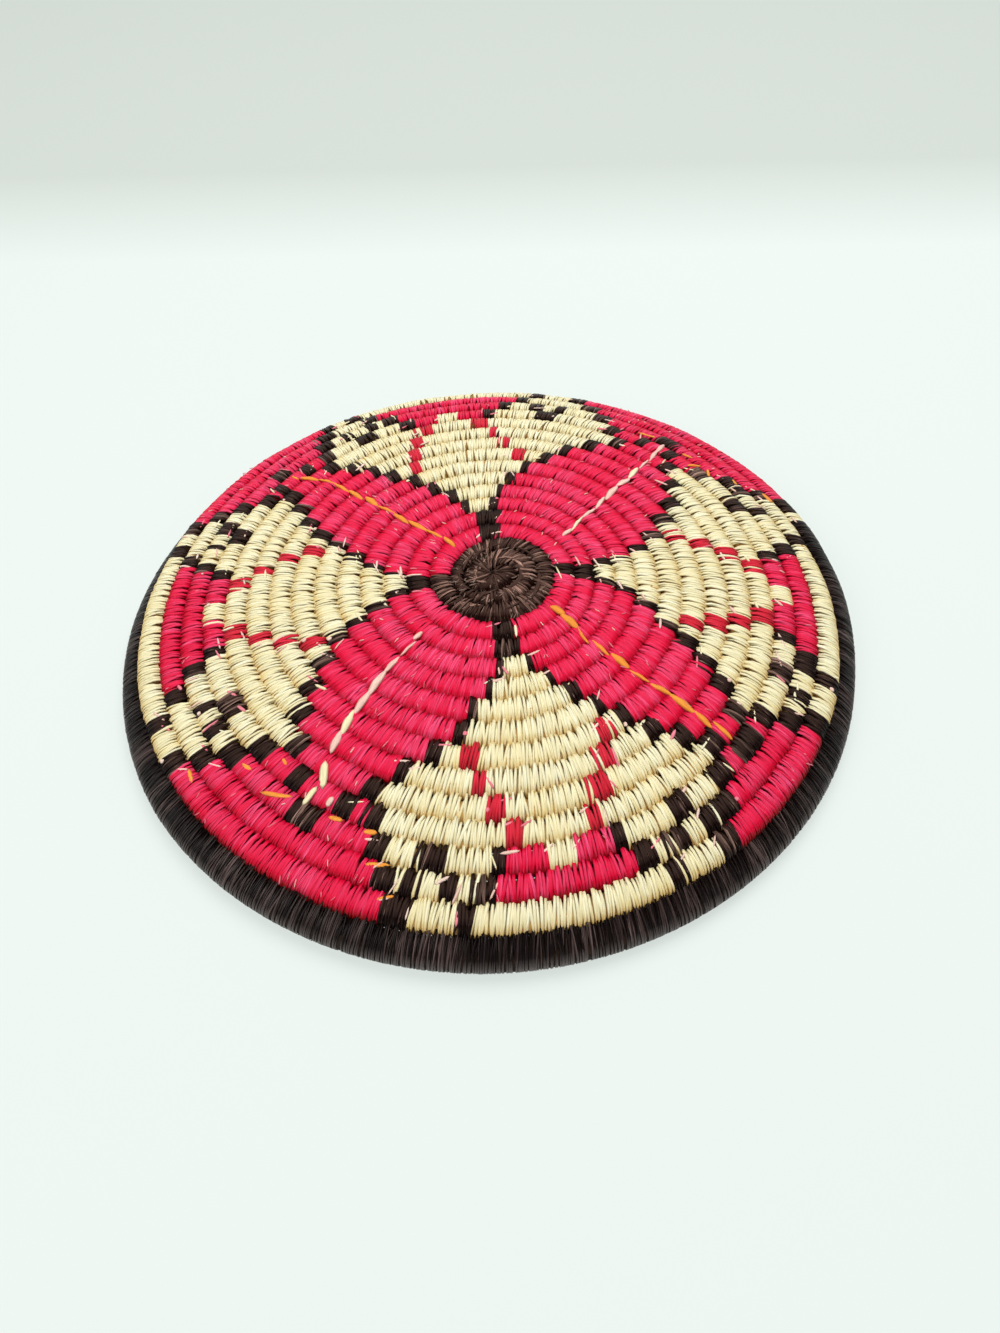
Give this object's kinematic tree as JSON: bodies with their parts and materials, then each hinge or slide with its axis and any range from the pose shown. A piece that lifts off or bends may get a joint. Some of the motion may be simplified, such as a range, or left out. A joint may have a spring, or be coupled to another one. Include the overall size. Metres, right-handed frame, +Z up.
{
  "type": "coiled basket",
  "caption": "Round shallow coiled basket of wrapped plant fibre with a four-petal flower in pink, cream and dark brown, slightly domed and standing rim down.",
  "frame": {"origin": "on the floor, under the middle of the outline", "axes": "+Z up through the dome, -Y towards the near side of the picture, +X to its right"},
  "size_m": [0.2504, 0.2488, 0.0297],
  "materials": {
    "bundle": "bundle of dry grass or palm fibre",
    "dark_wrap": "brown-black dyed fibre strand",
    "pink_wrap": "crimson-pink dyed fibre strand",
    "cream_wrap": "natural cream fibre strand",
    "orange_strand": "orange dyed fibre strand",
    "cream_strand": "natural cream fibre strand"
  },
  "bodies": {
    "root": {"foundation_coil": "bundle", "centre_wrap": "dark_wrap", "rim_wrap": "dark_wrap", "stem_wrap_far": "dark_wrap", "stem_wrap_right": "dark_wrap", "stem_wrap_near": "dark_wrap", "stem_wrap_left": "dark_wrap", "field_wrap_far": "cream_wrap", "field_wrap_right": "cream_wrap", "field_wrap_near": "cream_wrap", "field_wrap_left": "cream_wrap", "petal_wrap_far_left": "pink_wrap", "petal_wrap_far_right": "pink_wrap", "petal_wrap_near_right": "pink_wrap", "petal_wrap_near_left": "pink_wrap", "border_wrap_far_left": "pink_wrap", "border_wrap_far_right": "pink_wrap", "border_wrap_near_right": "pink_wrap", "border_wrap_near_left": "pink_wrap", "vein_strand_far_left": "orange_strand", "vein_strand_far_right": "cream_strand", "vein_strand_near_right": "orange_strand", "vein_strand_near_left": "cream_strand"}
  },
  "joints": []
}
